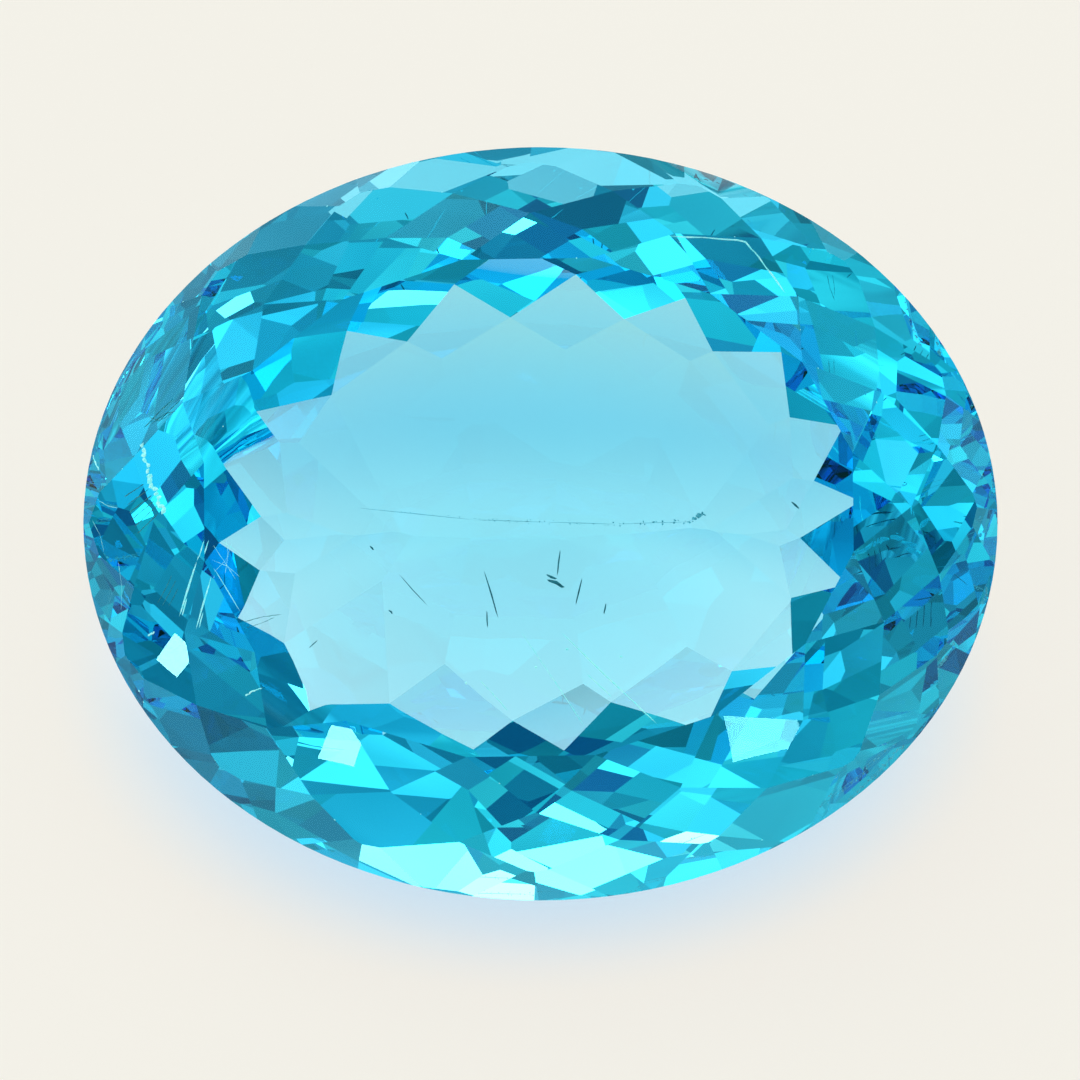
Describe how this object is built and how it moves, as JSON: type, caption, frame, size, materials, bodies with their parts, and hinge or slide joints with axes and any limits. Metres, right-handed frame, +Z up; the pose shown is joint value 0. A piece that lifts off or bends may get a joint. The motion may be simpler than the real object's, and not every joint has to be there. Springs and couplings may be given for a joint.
{
  "type": "faceted oval topaz gemstone",
  "caption": "Cut and polished oval blue stone with a flat table, a stepped crown and a faceted pavilion ending in a short keel, lying loose on one facet.",
  "frame": {"origin": "bottom centre of the stone's box, on the surface that it lies on", "axes": "+X along the oval's length, +Z up; the table leans 29 degrees from level towards -Y"},
  "size_m": [0.024, 0.0178, 0.0133],
  "materials": {
    "blue_topaz": "polished clear blue stone"
  },
  "bodies": {
    "root": {"topaz": "blue_topaz"}
  },
  "joints": []
}
